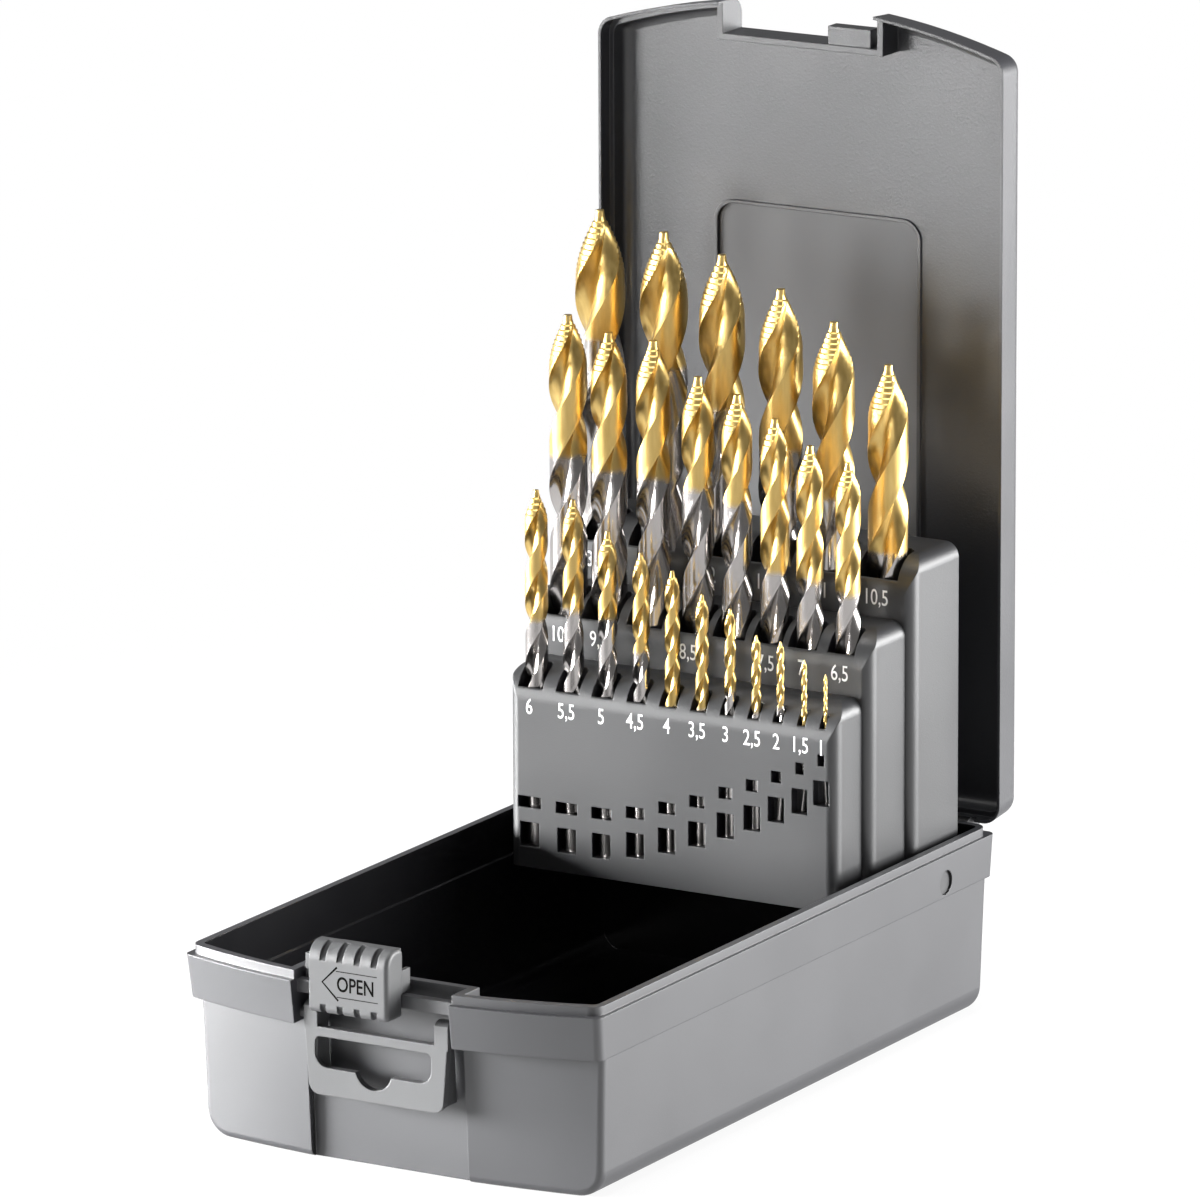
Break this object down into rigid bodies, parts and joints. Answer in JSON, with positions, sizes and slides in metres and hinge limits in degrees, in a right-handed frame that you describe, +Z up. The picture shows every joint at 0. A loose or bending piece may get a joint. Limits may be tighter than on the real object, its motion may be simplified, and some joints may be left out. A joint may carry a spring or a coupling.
{
  "type": "drill bit case",
  "caption": "Drill bit case with a hinged lid, three stepped racks of twist drills that tilt up with the lid, a sliding latch and a fold-out hanging flap",
  "frame": {"origin": "middle of the flat underside of the base", "axes": "+Z up, with the lid standing open; -Y is the front with the latch; +X is to the right when the front is faced; the hinge runs along X"},
  "size_m": [0.1198, 0.2282, 0.2585],
  "materials": {
    "case_plastic": "moulded dark grey shell, satin with a fine grain, a little glossier inside the base",
    "rack_plastic": "dark grey racks with a fine spark grain",
    "latch_plastic": "satin moulded slider",
    "flap_plastic": "satin moulded flap",
    "link_plastic": "plain moulded link",
    "label_card": "plain grey printed sheet, bare",
    "number_white": "matt white printed ink of the size numbers",
    "pin_steel": "plain turned steel",
    "drill_coated": "gold-brown coated high-speed steel with bright ground lands and points"
  },
  "bodies": {
    "base": {"base_shell": "case_plastic", "hinge_pin": "pin_steel"},
    "lid": {"lid_shell": "case_plastic", "label_card": "label_card", "link_pins_lid": "pin_steel"},
    "racks": {"rack_front": "rack_plastic", "rack_middle": "rack_plastic", "rack_rear": "rack_plastic", "rack_pivots": "rack_plastic", "link_pins_rack": "pin_steel", "drill_1_0": "drill_coated", "drill_1_5": "drill_coated", "drill_2_0": "drill_coated", "drill_2_5": "drill_coated", "drill_3_0": "drill_coated", "drill_3_5": "drill_coated", "drill_4_0": "drill_coated", "drill_4_5": "drill_coated", "drill_5_0": "drill_coated", "drill_5_5": "drill_coated", "drill_6_0": "drill_coated", "drill_6_5": "drill_coated", "drill_7_0": "drill_coated", "drill_7_5": "drill_coated", "drill_8_0": "drill_coated", "drill_8_5": "drill_coated", "drill_9_0": "drill_coated", "drill_9_5": "drill_coated", "drill_10_0": "drill_coated", "drill_10_5": "drill_coated", "drill_11_0": "drill_coated", "drill_11_5": "drill_coated", "drill_12_0": "drill_coated", "drill_12_5": "drill_coated", "drill_13_0": "drill_coated"},
    "link_left": {"lift_link_left": "link_plastic"},
    "link_right": {"lift_link_right": "link_plastic"},
    "latch": {"latch_slider": "latch_plastic"},
    "flap": {"hanger_flap": "flap_plastic"}
  },
  "joints": [
    {"name": "lid_hinge", "type": "hinge", "parent": "base", "child": "lid", "pos_m": [0, 0.1024, 0.0473], "axis": [1, 0, 0], "range_deg": [0, 90]},
    {"name": "rack_tilt", "type": "hinge", "parent": "base", "child": "racks", "pos_m": [0, 0.0749, 0.0404], "axis": [1, 0, 0], "range_deg": [0, 90]},
    {"name": "link_left_swing", "type": "hinge", "parent": "racks", "child": "link_left", "pos_m": [-0.0342, 0.0829, 0.0524], "axis": [1, 0, 0], "range_deg": [-90, 0]},
    {"name": "link_right_swing", "type": "hinge", "parent": "racks", "child": "link_right", "pos_m": [0.0342, 0.0829, 0.0524], "axis": [1, 0, 0], "range_deg": [-90, 0]},
    {"name": "latch_slide", "type": "slide", "parent": "base", "child": "latch", "axis": [1, 0, 0], "range_m": [0, 0.0148]},
    {"name": "flap_swing", "type": "hinge", "parent": "base", "child": "flap", "pos_m": [-0.001, -0.1038, 0.0386], "axis": [-1, 0, 0], "range_deg": [0, 90]}
  ],
  "couplings": [
    {"joint": "rack_tilt", "follows": "lid_hinge", "ratio": 1},
    {"joint": "link_left_swing", "follows": "lid_hinge", "ratio": -1},
    {"joint": "link_right_swing", "follows": "lid_hinge", "ratio": -1}
  ]
}
